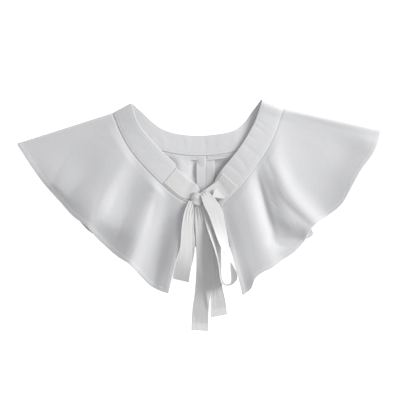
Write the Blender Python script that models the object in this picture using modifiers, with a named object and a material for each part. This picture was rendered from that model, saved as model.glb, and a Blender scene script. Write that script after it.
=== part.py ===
"""Detachable cape collar with a ribbon bow, laid flat with its fronts up.

Two flared cape halves meet in a seam at the centre back. One neck band runs round the neckline,
and a ribbon tie stitched to each band end makes the bow. The collar is folded over at the
shoulders, so its fronts lie on its backs, and the backs lie on the surface at z = 0.
X runs to the right as seen from above, Y towards the back of the neck, and Z up.
Lengths in the tables are in millimetres.
"""

from collections import namedtuple

import bmesh
import bpy
import numpy as np

MM = 0.001

# Walls of doubled, turned and stitched cloth
CAPE_WALL = 1.2
BAND_WALL = 1.6
RIBBON_WALL = 1.0
ALLOWANCE_WALL = 1.0

# Clearances between pieces
PIECE_GAP = 0.3
SEAM_GAP = 0.55

# Width of the neck band, from its seam to the neckline
BAND_WIDTH = 28.0

# How finely the cloth is divided
CAPE_STEPS = 3
CAPE_LINES = 10
BAND_STEPS = 3
BAND_LINES = 4
RIBBON_STEPS = 2
RIBBON_LINES = 3

# The knot of the bow
KNOT_CENTRE = (-1.3, 20.1, 14.2)
KNOT_HALF_SIZE = (10.2, 9.3, 4.9)
KNOT_SEGMENTS = 20
KNOT_RINGS = 12
KNOT_WRAPS = 3
KNOT_WRAP_DEPTH = 0.06

# The ties as they lie on the band: the lowest and highest line across the band that they cover
TIE_LOW_EDGE = 0.08
TIE_HIGH_EDGE = 0.9

# Cloth colours, linear
COTTON_WHITE = (0.80, 0.80, 0.83)
RIBBON_WHITE = (0.86, 0.85, 0.82)
CAPE_ROUGHNESS = 0.8
BAND_ROUGHNESS = 0.78
RIBBON_ROUGHNESS = 0.7

# The neck band, from the viewer's left front end round the neck to the right one. The seam joins
# the cape, and the top is the neckline. Each shoulder fold turns the band over in three sections.
NeckSection = namedtuple("NeckSection", "name seam_x seam_y seam_z top_x top_y top_z")
NECK = [
    NeckSection("left front end", -11.5, 15.0, 7.5, -4.0, 39.5, 7.0),
    NeckSection("left tie", -27.0, 22.5, 7.0, -12.5, 46.5, 7.0),
    NeckSection("left lower front", -50.5, 42.0, 6.5, -30.5, 65.5, 7.0),
    NeckSection("left middle front", -70.0, 61.5, 6.0, -49.5, 83.0, 7.5),
    NeckSection("left upper front", -89.5, 85.0, 6.5, -67.0, 102.5, 8.5),
    NeckSection("left below fold", -102.0, 108.0, 7.5, -79.0, 118.5, 11.0),
    NeckSection("left over fold", -109.5, 127.5, 8.5, -85.0, 136.0, 12.5),
    NeckSection("left fold edge", -111.5, 131.5, 4.6, -87.5, 144.0, 9.0),
    NeckSection("left under fold", -110.0, 128.0, 0.8, -82.0, 140.0, 4.6),
    NeckSection("back left side", -98.5, 115.5, 0.8, -72.0, 131.0, 3.6),
    NeckSection("back left turn", -80.5, 100.5, 0.8, -60.5, 120.0, 3.6),
    NeckSection("back left curve", -60.0, 87.0, 0.8, -46.5, 110.5, 4.0),
    NeckSection("back left middle", -27.5, 78.5, 0.8, -24.5, 104.0, 4.2),
    NeckSection("back centre", 8.7, 76.5, 0.8, 6.5, 102.5, 4.2),
    NeckSection("back right middle", 37.5, 80.0, 0.8, 29.5, 105.0, 4.6),
    NeckSection("back right curve", 61.0, 87.5, 0.8, 46.5, 109.5, 4.4),
    NeckSection("back right turn", 79.5, 100.5, 0.8, 58.0, 118.0, 3.6),
    NeckSection("back right side", 93.5, 117.5, 0.8, 67.5, 131.0, 3.6),
    NeckSection("right under fold", 106.5, 133.0, 0.8, 75.5, 142.0, 5.0),
    NeckSection("right fold edge", 109.0, 138.0, 4.8, 81.0, 149.0, 9.0),
    NeckSection("right over fold", 106.5, 132.5, 8.8, 80.0, 141.0, 12.5),
    NeckSection("right below fold", 103.5, 122.5, 8.8, 76.5, 131.5, 11.5),
    NeckSection("right upper front", 99.0, 109.5, 8.8, 72.0, 119.5, 11.0),
    NeckSection("right high front", 89.5, 88.0, 8.8, 64.0, 104.5, 10.8),
    NeckSection("right middle front", 79.0, 72.0, 8.8, 55.0, 90.0, 10.6),
    NeckSection("right lower front", 65.0, 52.5, 8.6, 41.5, 72.5, 10.2),
    NeckSection("right tie", 52.0, 35.5, 8.0, 28.5, 56.5, 9.2),
    NeckSection("right front end", 26.5, 9.5, 6.5, 17.5, 38.5, 8.5),
]

# The cape halves, each from its front edge over the shoulder fold to the centre back seam.
# neck_place counts sections of NECK. middle_z is the height halfway from the neck to the hem.
CapeSection = namedtuple("CapeSection", "name neck_place middle_z hem_x hem_y hem_z")
CAPE_LEFT = [
    CapeSection("front edge", 0.0, 8.0, -40.0, -102.0, 2.2),
    CapeSection("front edge slope", 0.6, 5.0, -52.0, -97.5, 1.2),
    CapeSection("inner trough", 1.3, 3.0, -62.5, -92.0, 0.8),
    CapeSection("inner fold slope", 1.8, 7.0, -75.0, -79.5, 5.0),
    CapeSection("inner fold", 2.4, 12.0, -89.0, -63.5, 13.0),
    CapeSection("inner fold far slope", 2.9, 7.0, -106.0, -53.0, 7.0),
    CapeSection("outer trough", 3.4, 3.2, -127.0, -35.0, 2.4),
    CapeSection("outer fold slope", 3.75, 6.0, -136.5, -24.5, 6.0),
    CapeSection("outer fold", 4.1, 10.0, -145.5, -13.5, 12.0),
    CapeSection("outer fold far slope", 4.5, 7.5, -161.5, -2.0, 9.0),
    CapeSection("shoulder front", 4.9, 4.8, -180.0, 17.0, 4.5),
    CapeSection("shoulder flat", 5.3, 4.5, -199.5, 39.0, 3.5),
    CapeSection("tip curl", 5.65, 5.0, -216.5, 63.0, 5.5),
    CapeSection("tip", 5.88, 6.2, -228.0, 81.0, 6.5),
    CapeSection("over fold", 6.0, 7.0, -233.5, 89.3, 6.0),
    CapeSection("fold edge", 7.0, 4.0, -235.0, 92.2, 3.4),
    CapeSection("under fold", 8.0, 0.6, -233.5, 89.3, 0.6),
    CapeSection("back tip", 8.3, 0.6, -214.5, 60.5, 0.6),
    CapeSection("back shoulder", 8.8, 0.6, -193.5, 34.0, 0.6),
    CapeSection("back side", 9.6, 0.6, -161.0, -0.5, 0.6),
    CapeSection("back hem showing", 10.2, 0.6, -142.5, -21.0, 0.6),
    CapeSection("back lower side", 10.9, 0.6, -115.5, -34.5, 0.6),
    CapeSection("back panel", 12.0, 0.6, -63.5, -43.0, 0.6),
    CapeSection("back centre", 13.0, 0.6, 8.7, -41.0, 0.6),
]
CAPE_RIGHT = [
    CapeSection("front edge", 27.0, 3.2, 58.0, -104.0, 1.2),
    CapeSection("front edge slope", 26.6, 5.5, 67.5, -95.5, 3.0),
    CapeSection("front corner", 26.1, 8.5, 73.0, -82.0, 5.5),
    CapeSection("inner fold slope", 25.7, 11.5, 82.5, -74.0, 8.5),
    CapeSection("inner fold", 25.3, 12.0, 93.0, -69.0, 10.0),
    CapeSection("inner trough", 24.7, 3.2, 107.0, -59.0, 2.6),
    CapeSection("trough floor", 24.3, 3.2, 123.5, -48.0, 2.4),
    CapeSection("outer fold slope", 23.8, 5.5, 136.5, -34.0, 3.6),
    CapeSection("notch", 23.5, 9.5, 140.6, -24.2, 8.0),
    CapeSection("outer fold", 23.2, 12.0, 149.0, -13.0, 11.0),
    CapeSection("outer fold far slope", 22.7, 9.5, 168.0, 0.0, 9.0),
    CapeSection("shoulder front", 22.2, 6.0, 184.0, 13.5, 4.5),
    CapeSection("shoulder flat", 21.7, 5.5, 196.0, 34.5, 4.0),
    CapeSection("shoulder side", 21.3, 5.5, 208.0, 56.5, 6.0),
    CapeSection("tip curl", 20.8, 6.0, 225.5, 81.5, 8.5),
    CapeSection("tip", 20.4, 6.8, 231.5, 96.5, 8.0),
    CapeSection("over fold", 20.0, 7.2, 234.2, 107.4, 6.6),
    CapeSection("fold edge", 19.0, 4.2, 235.0, 109.5, 3.6),
    CapeSection("under fold", 18.0, 0.6, 233.0, 106.5, 0.6),
    CapeSection("back tip", 17.7, 0.6, 214.5, 68.0, 0.6),
    CapeSection("back shoulder", 17.2, 0.6, 189.5, 32.0, 0.6),
    CapeSection("back side", 16.5, 0.6, 158.0, 2.0, 0.6),
    CapeSection("back notch", 16.2, 0.6, 145.5, -16.0, 0.6),
    CapeSection("back hem showing", 15.9, 0.6, 148.4, -25.3, 0.6),
    CapeSection("back lower side", 15.3, 0.6, 131.0, -34.5, 0.6),
    CapeSection("back panel", 14.4, 0.6, 89.5, -42.0, 0.6),
    CapeSection("back centre", 13.0, 0.6, 8.7, -41.0, 0.6),
]

# The allowances of the centre back seam, pressed open on the inside of the back
AllowanceSection = namedtuple("AllowanceSection", "name y left_free_x right_free_x free_z")
SEAM_ALLOWANCE = [
    AllowanceSection("under the band", 74.0, -3.4, 19.6, 3.2),
    AllowanceSection("below the band", 60.0, -3.4, 19.6, 4.2),
    AllowanceSection("under the bow", 32.0, -3.2, 19.4, 3.4),
    AllowanceSection("middle", 0.0, -3.2, 19.4, 2.6),
    AllowanceSection("back hem", -40.6, -3.2, 19.4, 2.2),
]
SEAM_X = 8.7
ALLOWANCE_SEAM_Z = 2.1

# The ribbons, section by section along each stretch, by their middle. aim turns the line across
# the ribbon from +X towards +Y, and roll lifts its far end, both in degrees.
RibbonSection = namedtuple("RibbonSection", "name x y z width aim roll")
LOOP_LEFT = [
    RibbonSection("at the knot", -9.7, 12.6, 14.6, 8.0, -10, 0),
    RibbonSection("gathered", -14.8, -2.0, 15.0, 9.0, -5, 0),
    RibbonSection("opening out", -15.2, -17.5, 14.6, 12.5, -3, 0),
    RibbonSection("over the front edge", -15.9, -35.5, 13.8, 15.0, -4, 0),
    RibbonSection("front strand", -17.3, -53.5, 11.0, 17.5, -8, 0),
    RibbonSection("coming down", -20.6, -69.0, 8.0, 20.0, -12, 0),
    RibbonSection("above the fold", -22.9, -81.0, 5.6, 21.0, -12, 0),
    RibbonSection("folded end", -23.4, -85.4, 3.8, 21.0, -12, 0),
    RibbonSection("below the fold", -22.9, -81.6, 2.1, 21.0, -12, 0),
    RibbonSection("back strand", -20.0, -67.0, 3.4, 20.0, -12, 0),
    RibbonSection("rising", -15.5, -51.5, 7.6, 18.0, -8, 0),
    RibbonSection("under the front strand", -13.6, -35.5, 10.9, 14.0, -4, 0),
    RibbonSection("under the gathers", -13.0, -17.5, 11.4, 11.0, -3, 0),
    RibbonSection("back at the knot", -8.8, 12.4, 11.4, 7.0, -10, 0),
]
LOOP_RIGHT = [
    RibbonSection("at the knot", 10.9, 15.5, 14.6, 14.0, 25, -8),
    RibbonSection("lying open", 20.2, 1.5, 14.4, 18.0, 18, -14),
    RibbonSection("turning", 26.0, -18.0, 14.0, 19.0, 8, -36),
    RibbonSection("leaning", 32.2, -36.5, 13.8, 20.0, 2, -56),
    RibbonSection("on the front edge", 38.3, -54.5, 13.9, 21.0, -5, -70),
    RibbonSection("on edge", 43.2, -68.5, 13.8, 21.0, -10, -74),
    RibbonSection("bottom right", 45.6, -80.5, 13.4, 21.0, -14, -76),
    RibbonSection("bottom turn", 43.3, -88.0, 12.9, 21.0, -20, -83),
    RibbonSection("bottom", 37.0, -91.0, 12.9, 21.0, -10, -87),
    RibbonSection("bottom left", 30.6, -88.3, 12.9, 21.0, 0, -85),
    RibbonSection("far side", 27.4, -80.0, 13.0, 21.0, 0, -84),
    RibbonSection("far side rising", 26.0, -64.5, 13.2, 21.0, 0, -77),
    RibbonSection("leaning back", 23.6, -46.0, 13.2, 19.5, 0, -64),
    RibbonSection("turning flat", 18.8, -28.0, 12.6, 16.0, 4, -40),
    RibbonSection("under the strand", 13.4, -9.0, 12.4, 12.0, 8, -16),
    RibbonSection("back at the knot", 6.8, 12.4, 11.7, 6.0, 12, -4),
]
TAIL_LEFT = [
    RibbonSection("at the knot", -0.8, 11.0, 12.0, 7.5, 0, 0),
    RibbonSection("gathered", 1.6, -10.0, 9.4, 13.0, 0, 0),
    RibbonSection("opening out", 4.8, -29.0, 6.9, 18.0, 0, 0),
    RibbonSection("over the back hem", 7.0, -46.5, 5.2, 20.5, 0, 0),
    RibbonSection("crossing the other tail", 7.4, -66.0, 3.9, 21.0, 0, 0),
    RibbonSection("beside the other tail", 6.3, -85.0, 2.8, 20.5, -2, 0),
    RibbonSection("turned", 4.6, -104.0, 1.6, 20.0, -3, 0),
    RibbonSection("lying", 2.4, -121.5, 0.8, 20.5, -2, 0),
    RibbonSection("above its hem", 1.4, -136.0, 0.6, 21.0, -1, 0),
    RibbonSection("end", 1.3, -150.0, 0.6, 21.0, -4, 0),
]
TAIL_RIGHT = [
    RibbonSection("at the knot", 0.8, 17.6, 8.6, 8.0, 0, 0),
    RibbonSection("gathered", 11.6, -10.0, 6.2, 9.0, 0, 0),
    RibbonSection("under the loop", 16.6, -29.0, 4.4, 10.0, 0, 0),
    RibbonSection("over the back hem", 20.0, -46.5, 3.6, 11.0, 0, 0),
    RibbonSection("in the shadow", 21.2, -70.0, 1.1, 12.5, 0, 0),
    RibbonSection("opening out", 22.6, -92.0, 0.7, 15.5, 2, 0),
    RibbonSection("lying", 24.6, -111.0, 0.6, 19.0, 5, 0),
    RibbonSection("above its hem", 25.6, -125.5, 0.6, 20.5, 8, 0),
    RibbonSection("end", 26.2, -131.0, 0.6, 21.0, 10, 0),
]

# The stretch of each tie between its stitched patch on the band and the knot, as places along
# the band, and the free sections that follow past the band's end
LEAD_LEFT_PLACES = (1.85, 1.45, 1.05, 0.65)
LEAD_LEFT_END = RibbonSection("at the knot", -7.9, 25.4, 11.0, 15.0, 48, 4)
LEAD_RIGHT_PLACES = (26.05, 26.3, 26.55)
LEAD_RIGHT_END = RibbonSection("at the knot", 8.1, 22.5, 11.8, 13.0, 118, 4)


def spline_at(points, places):
    """Reads a smooth curve through points at places, which count the points from 0.

    It is a centripetal Catmull-Rom curve. points may hold several curves side by side.
    """
    points = np.asarray(points, float)
    places = np.asarray(places, float)
    before = 2 * points[:1] - points[1:2]
    after = 2 * points[-1:] - points[-2:-1]
    padded = np.concatenate([before, points, after])
    span = np.clip(np.floor(places).astype(int), 0, len(points) - 2)
    shape = (-1,) + (1,) * (points.ndim - 1)
    along = (places - span).reshape(shape)
    p0, p1, p2, p3 = (padded[span + k] for k in range(4))
    d0, d1, d2 = (
        np.sqrt(np.linalg.norm(b - a, axis=-1, keepdims=True) + 1e-9)
        for a, b in ((p0, p1), (p1, p2), (p2, p3))
    )
    leave = ((p1 - p0) / d0 - (p2 - p0) / (d0 + d1)) * d1 + (p2 - p1)
    arrive = (p2 - p1) - ((p3 - p1) / (d1 + d2) - (p3 - p2) / d2) * d1
    square, cube = along**2, along**3
    return (
        (2 * cube - 3 * square + 1) * p1
        + (cube - 2 * square + along) * leave
        + (3 * square - 2 * cube) * p2
        + (cube - square) * arrive
    )


def stations(count, steps):
    """The places of count sections, with steps spans between each two."""
    return np.linspace(0, count - 1, (count - 1) * steps + 1)


def neck_edges():
    seam = np.array([(row.seam_x, row.seam_y, row.seam_z) for row in NECK])
    top = np.array([(row.top_x, row.top_y, row.top_z) for row in NECK])
    return seam, top


def band_surface(places, across):
    """Points of the band's middle surface, from the seam at across = 0 to the top at 1."""
    seam, top = neck_edges()
    across = np.asarray(across)[:, None]
    sections = seam[:, None] * (1 - across) + top[:, None] * across
    points = spline_at(sections, places)
    points[..., 2] = np.maximum(points[..., 2], BAND_WALL / 2)
    return points


def cape_surface(sections):
    """Points of a cape half's middle surface, from the neck seam to the hem."""
    seam, _ = neck_edges()
    neck_places = np.array([row.neck_place for row in sections])
    hem = np.array([(row.hem_x, row.hem_y, row.hem_z) for row in sections])
    middle_z = np.array([row.middle_z for row in sections])
    neck = spline_at(seam, neck_places)
    gap_share = SEAM_GAP / 2 / np.linalg.norm(hem - neck, axis=1).mean()
    down = np.linspace(gap_share, 1, CAPE_LINES)
    lines = neck[:, None] * (1 - down)[:, None] + hem[:, None] * down[:, None]
    lines[..., 2] = (
        neck[:, None, 2] * (1 - down) * (1 - 2 * down)
        + 4 * middle_z[:, None] * down * (1 - down)
        + hem[:, None, 2] * down * (2 * down - 1)
    )
    places = stations(len(sections), CAPE_STEPS)
    points = spline_at(lines, places)
    # The neck line is laid exactly along the band's seam, and the rest follows it.
    between = np.interp(places, np.arange(len(sections)), neck_places)
    on_seam = spline_at(seam, between)
    off_seam = on_seam - spline_at(neck, places)
    points += off_seam[:, None] * ((1 - down) ** 2)[:, None]
    points[..., 2] = np.maximum(points[..., 2], CAPE_WALL / 2)
    # The halves stop just short of each other at the centre back.
    side = np.sign(hem[0, 0] - SEAM_X)
    points[-1, :, 0] += side * PIECE_GAP / 2
    return points


def ribbon_edges(row):
    """The two ends of the line across a ribbon section."""
    aim, roll = np.radians(row.aim), np.radians(row.roll)
    line = np.array([np.cos(aim) * np.cos(roll), np.sin(aim) * np.cos(roll), np.sin(roll)])
    middle = np.array([row.x, row.y, row.z])
    return middle - line * row.width / 2, middle + line * row.width / 2


def ribbon_surface(edge_pairs):
    """Points of a ribbon's middle surface through pairs of edge points."""
    edges = np.array(edge_pairs)
    across = np.linspace(0, 1, RIBBON_LINES)[:, None]
    sections = edges[:, :1] * (1 - across) + edges[:, 1:] * across
    return spline_at(sections, stations(len(sections), RIBBON_STEPS))


def lead_surface(places, end):
    """A tie on the band: the band's own points moved out, then one free section at the knot."""
    across = np.linspace(TIE_LOW_EDGE, TIE_HIGH_EDGE, 2)
    on_band = band_surface(places, across)
    along = np.gradient(on_band, axis=0)
    over = (on_band[:, 1] - on_band[:, 0])[:, None]
    normal = np.cross(along, np.broadcast_to(over, along.shape))
    normal /= np.linalg.norm(normal, axis=-1, keepdims=True)
    normal *= np.sign(normal[..., 2:])
    lift = BAND_WALL / 2 + PIECE_GAP + RIBBON_WALL / 2
    pairs = [tuple(pair) for pair in on_band + normal * lift]
    return ribbon_surface(pairs + [ribbon_edges(end)])


def allowance_surface(side):
    """One allowance strip, from the seam to its free edge. side is -1 on the left, 1 on the right."""
    pairs = []
    for row in SEAM_ALLOWANCE:
        free_x = row.left_free_x if side < 0 else row.right_free_x
        at_seam = (SEAM_X + side * PIECE_GAP, row.y, ALLOWANCE_SEAM_Z)
        pairs.append((at_seam, (free_x, row.y, row.free_z)))
    return ribbon_surface(pairs)


def fabric(name, colour, roughness):
    material = bpy.data.materials.new(name)
    material.use_nodes = True
    shader = material.node_tree.nodes["Principled BSDF"]
    shader.inputs["Base Color"].default_value = (*colour, 1)
    shader.inputs["Roughness"].default_value = roughness
    shader.inputs["Metallic"].default_value = 0
    return material


def add_object(name, mesh, material, collection):
    obj = bpy.data.objects.new(name, mesh)
    mesh.materials.append(material)
    collection.objects.link(obj)
    mesh.shade_smooth()
    return obj


def cloth_wall(name, points, wall, material, collection):
    """A closed wall of cloth with this middle surface, a grid of points in millimetres."""
    rows, columns = points.shape[:2]
    corner = np.arange(rows * columns).reshape(rows, columns)
    faces = np.stack(
        [corner[:-1, :-1], corner[1:, :-1], corner[1:, 1:], corner[:-1, 1:]], axis=-1
    ).reshape(-1, 4)
    mesh = bpy.data.meshes.new(name)
    mesh.from_pydata((points.reshape(-1, 3) * MM).tolist(), [], faces.tolist())
    obj = add_object(name, mesh, material, collection)
    solidify = obj.modifiers.new("Wall", "SOLIDIFY")
    solidify.thickness = wall * MM
    solidify.offset = 0
    solidify.use_even_offset = False
    return obj


def add_knot(material, collection):
    """The knot: a flattened ball with the soft grooves of the ribbon wrapped round it."""
    mesh = bpy.data.meshes.new("bow_knot")
    ball = bmesh.new()
    bmesh.ops.create_uvsphere(
        ball, u_segments=KNOT_SEGMENTS, v_segments=KNOT_RINGS, radius=1.0
    )
    for vertex in ball.verts:
        turn = np.arctan2(vertex.co.z, vertex.co.x)
        groove = 1 - KNOT_WRAP_DEPTH * (1 + np.cos(KNOT_WRAPS * 2 * turn)) / 2
        for axis in range(3):
            reach = vertex.co[axis] * KNOT_HALF_SIZE[axis] * groove
            vertex.co[axis] = (KNOT_CENTRE[axis] + reach) * MM
    ball.to_mesh(mesh)
    ball.free()
    return add_object("bow_knot", mesh, material, collection)


def clear_scene():
    for obj in list(bpy.data.objects):
        bpy.data.objects.remove(obj, do_unlink=True)


def build():
    clear_scene()
    collection = bpy.data.collections.new("cape_collar")
    bpy.context.scene.collection.children.link(collection)
    cape_cloth = fabric("cape_cotton", COTTON_WHITE, CAPE_ROUGHNESS)
    band_cloth = fabric("band_cotton", COTTON_WHITE, BAND_ROUGHNESS)
    ribbon_cloth = fabric("ribbon_cotton", RIBBON_WHITE, RIBBON_ROUGHNESS)

    cloth_wall("cape_left", cape_surface(CAPE_LEFT), CAPE_WALL, cape_cloth, collection)
    cloth_wall("cape_right", cape_surface(CAPE_RIGHT), CAPE_WALL, cape_cloth, collection)
    for name, side in (("seam_allowance_left", -1), ("seam_allowance_right", 1)):
        cloth_wall(name, allowance_surface(side), ALLOWANCE_WALL, cape_cloth, collection)

    first_line = SEAM_GAP / 2 / BAND_WIDTH
    across = np.linspace(first_line, 1, BAND_LINES)
    band = band_surface(stations(len(NECK), BAND_STEPS), across)
    cloth_wall("neck_band", band, BAND_WALL, band_cloth, collection)

    leads = (
        ("tie_lead_left", LEAD_LEFT_PLACES, LEAD_LEFT_END),
        ("tie_lead_right", LEAD_RIGHT_PLACES, LEAD_RIGHT_END),
    )
    for name, places, end in leads:
        cloth_wall(name, lead_surface(places, end), RIBBON_WALL, ribbon_cloth, collection)
    add_knot(ribbon_cloth, collection)
    ribbons = (
        ("bow_loop_left", LOOP_LEFT),
        ("bow_loop_right", LOOP_RIGHT),
        ("bow_tail_left", TAIL_LEFT),
        ("bow_tail_right", TAIL_RIGHT),
    )
    for name, sections in ribbons:
        points = ribbon_surface([ribbon_edges(row) for row in sections])
        cloth_wall(name, points, RIBBON_WALL, ribbon_cloth, collection)


build()
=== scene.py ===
"""The looks of a detachable cape collar of white cotton, laid flat with its ribbon ties in a bow.

Lengths in the tables are in millimetres: X to the right as seen from above, Y towards the back of
the neck, Z up from the table. Each cloth is a thin closed wall round a middle surface.
"""

from collections import namedtuple

import bpy
import numpy as np
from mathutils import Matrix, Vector


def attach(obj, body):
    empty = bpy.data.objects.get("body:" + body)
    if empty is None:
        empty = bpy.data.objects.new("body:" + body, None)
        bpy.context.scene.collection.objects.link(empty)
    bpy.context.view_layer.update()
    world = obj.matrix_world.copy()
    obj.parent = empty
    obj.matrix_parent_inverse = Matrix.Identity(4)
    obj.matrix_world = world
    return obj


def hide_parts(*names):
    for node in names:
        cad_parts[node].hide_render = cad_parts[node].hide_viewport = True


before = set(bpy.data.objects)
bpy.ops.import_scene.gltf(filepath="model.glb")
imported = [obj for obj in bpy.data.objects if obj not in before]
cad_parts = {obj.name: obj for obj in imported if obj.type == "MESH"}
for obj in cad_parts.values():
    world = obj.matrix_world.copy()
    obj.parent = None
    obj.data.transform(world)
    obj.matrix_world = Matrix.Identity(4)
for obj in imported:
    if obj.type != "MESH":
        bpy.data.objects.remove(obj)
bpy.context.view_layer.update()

# The studio: a pale table seen from straight above, with one large soft light low on the right,
# towards the back of the neck, and an even fill from all round.
MM = 0.001
VIEW_CENTRE = (1.3, 18.85)
VIEW_HEIGHT = 1444.0
LENS = 100.0
SENSOR = 36.0
TABLE_HALF = 3.0
TABLE_WHITE = (0.95, 0.95, 0.95, 1)
TABLE_GLOW = 0.62
FILL_COLOUR = (0.985, 0.99, 1.0, 1)
FILL_STRENGTH = 0.455
KEY_DIRECTION = (0.80, 0.36, 0.46)
KEY_DISTANCE = 2.4
KEY_SIZE = 1.1
KEY_WATTS = 52.5


def put_in_scene(name, data):
    """A new object in the scene, with this mesh, camera or light."""
    thing = bpy.data.objects.new(name, data)
    bpy.context.scene.collection.objects.link(thing)
    return thing


camera = put_in_scene("camera", bpy.data.cameras.new("camera"))
camera.data.lens = LENS
camera.data.sensor_width = SENSOR
camera.location = (VIEW_CENTRE[0] * MM, VIEW_CENTRE[1] * MM, VIEW_HEIGHT * MM)
bpy.context.scene.camera = camera

world = bpy.data.worlds.new("fill")
bpy.context.scene.world = world
world.use_nodes = True
world.node_tree.nodes["Background"].inputs["Color"].default_value = FILL_COLOUR
world.node_tree.nodes["Background"].inputs["Strength"].default_value = FILL_STRENGTH
bpy.context.scene.view_settings.view_transform = "Standard"

key = put_in_scene("soft_light", bpy.data.lights.new("soft_light", "AREA"))
key.data.size = KEY_SIZE
key.data.energy = KEY_WATTS
towards_key = Vector(KEY_DIRECTION).normalized()
key.location = towards_key * KEY_DISTANCE
key.rotation_euler = towards_key.to_track_quat("Z", "Y").to_euler()

table_mesh = bpy.data.meshes.new("table")
table_corners = np.array([[-1, -1, 0], [1, -1, 0], [1, 1, 0], [-1, 1, 0]]) * TABLE_HALF
table_mesh.from_pydata(table_corners.tolist(), [], [[0, 1, 2, 3]])
table_paint = bpy.data.materials.new("table_white")
table_paint.use_nodes = True
table_shader = table_paint.node_tree.nodes["Principled BSDF"]
table_shader.inputs["Base Color"].default_value = TABLE_WHITE
table_shader.inputs["Roughness"].default_value = 0.9
table_shader.inputs["Emission Color"].default_value = (1, 1, 1, 1)
table_shader.inputs["Emission Strength"].default_value = TABLE_GLOW
table_mesh.materials.append(table_paint)
table = put_in_scene("table", table_mesh)

# The neck band: one long strip of the cape's cotton, folded double along the neckline, with the
# cape's neck edge stitched between its layers and a row of topstitching along both edges.
BAND_WALL = 1.15
BAND_STEPS = 14
BAND_LINES = 41
BAND_COTTON = (0.762, 0.762, 0.777)
EDGE_TO_STITCH = 2.3
EDGE_PRESS = 0.62
EDGE_PRESS_WIDTH = 1.5
STITCH_GROOVE = 0.5
GROOVE_WIDTH = 0.8

NeckSection = namedtuple("NeckSection", "name seam_x seam_y seam_z top_x top_y top_z")


def named_rows(kind, rows):
    """A table's rows with the names of its columns."""
    return [kind(*row) for row in rows]


# From the viewer's left front end round the neck to the right one. The seam joins the cape, and
# the top is the neckline. Each shoulder fold turns the band over in three sections.
NECK = named_rows(NeckSection, [
    ("left front end", -11.5, 15.0, 9.4, -4.0, 39.5, 6.0),
    ("left tie", -27.0, 22.5, 9.2, -12.5, 46.5, 5.8),
    ("left lower front", -50.5, 42.0, 7.8, -30.5, 65.5, 6.0),
    ("left middle front", -70.0, 61.5, 6.6, -49.5, 83.0, 6.8),
    ("left upper front", -89.5, 85.0, 6.6, -67.0, 102.5, 8.0),
    ("left below fold", -102.0, 108.0, 7.0, -79.0, 118.5, 10.2),
    ("left over fold", -110.3, 129.2, 7.2, -86.2, 139.6, 11.6),
    ("left fold edge", -111.5, 131.5, 4.2, -87.5, 144.0, 8.4),
    ("left under fold", -110.0, 128.0, 0.8, -82.0, 140.0, 3.8),
    ("back left side", -98.5, 115.5, 1.6, -72.0, 131.0, 2.4),
    ("back left turn", -80.5, 100.5, 4.0, -60.5, 120.0, 2.8),
    ("back left curve", -60.0, 87.0, 5.6, -46.5, 110.5, 3.4),
    ("back left middle", -27.5, 78.5, 5.6, -24.5, 104.0, 3.8),
    ("back centre", 8.7, 76.5, 5.2, 6.5, 102.5, 3.8),
    ("back right middle", 37.5, 80.0, 5.8, 29.5, 105.0, 4.4),
    ("back right curve", 61.0, 87.5, 5.8, 46.5, 109.5, 4.2),
    ("back right turn", 79.5, 100.5, 4.4, 58.0, 118.0, 2.6),
    ("back right side", 93.5, 117.5, 2.0, 67.5, 131.0, 2.2),
    ("right under fold", 106.5, 133.0, 0.8, 75.5, 142.0, 4.4),
    ("right fold edge", 109.0, 138.0, 4.2, 81.0, 149.0, 7.6),
    ("right over fold", 107.8, 135.0, 8.8, 80.6, 144.6, 10.8),
    ("right below fold", 103.5, 122.5, 8.8, 76.5, 131.5, 9.6),
    ("right upper front", 99.0, 109.5, 9.6, 72.0, 119.5, 9.4),
    ("right high front", 89.5, 88.0, 10.6, 64.0, 104.5, 10.0),
    ("right middle front", 79.0, 72.0, 11.2, 55.0, 90.0, 10.4),
    ("right lower front", 65.0, 52.5, 11.6, 41.5, 72.5, 10.2),
    ("right tie", 52.0, 35.5, 11.0, 28.5, 56.5, 9.2),
    ("right front end", 26.5, 9.5, 6.8, 17.5, 38.5, 6.6),
])
neck_seam = np.array([(row.seam_x, row.seam_y, row.seam_z) for row in NECK])
neck_top = np.array([(row.top_x, row.top_y, row.top_z) for row in NECK])


def spline_at(points, places):
    """A smooth curve through points, read at places that count the points from 0.

    Centripetal Catmull-Rom: each span's tangents come from its neighbours, weighted by the
    square root of the distances. points may hold several curves side by side.
    """
    points = np.asarray(points, float)
    places = np.asarray(places, float)
    padded = np.concatenate([2 * points[:1] - points[1:2], points, 2 * points[-1:] - points[-2:-1]])
    span = np.clip(np.floor(places).astype(int), 0, len(points) - 2)
    along = (places - span).reshape((-1,) + (1,) * (points.ndim - 1))
    p0, p1, p2, p3 = (padded[span + k] for k in range(4))
    d0, d1, d2 = (
        np.sqrt(np.linalg.norm(b - a, axis=-1, keepdims=True) + 1e-9)
        for a, b in ((p0, p1), (p1, p2), (p2, p3))
    )
    leave = ((p1 - p0) / d0 - (p2 - p0) / (d0 + d1)) * d1 + (p2 - p1)
    arrive = (p2 - p1) - ((p3 - p1) / (d1 + d2) - (p3 - p2) / d2) * d1
    square, cube = along**2, along**3
    return (
        (2 * cube - 3 * square + 1) * p1
        + (cube - 2 * square + along) * leave
        + (3 * square - 2 * cube) * p2
        + (cube - square) * arrive
    )


def stations(count, steps):
    """The places of count sections, with steps spans between each two."""
    return np.linspace(0, count - 1, (count - 1) * steps + 1)


def unit(vectors):
    """Vectors divided by their lengths."""
    return vectors / np.maximum(np.linalg.norm(vectors, axis=-1, keepdims=True), 1e-9)


def normals_of(points):
    """Unit normals of a grid: the step along the rows crossed with the step across them."""
    return unit(np.cross(np.gradient(points, axis=0), np.gradient(points, axis=1)))


def run_lengths(points, axis):
    """How far each point of a grid is along its line, from the first point of that line."""
    steps = np.linalg.norm(np.diff(points, axis=axis), axis=-1)
    start = np.zeros_like(np.take(steps, [0], axis=axis))
    return np.concatenate([start, np.cumsum(steps, axis=axis)], axis=axis)


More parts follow.
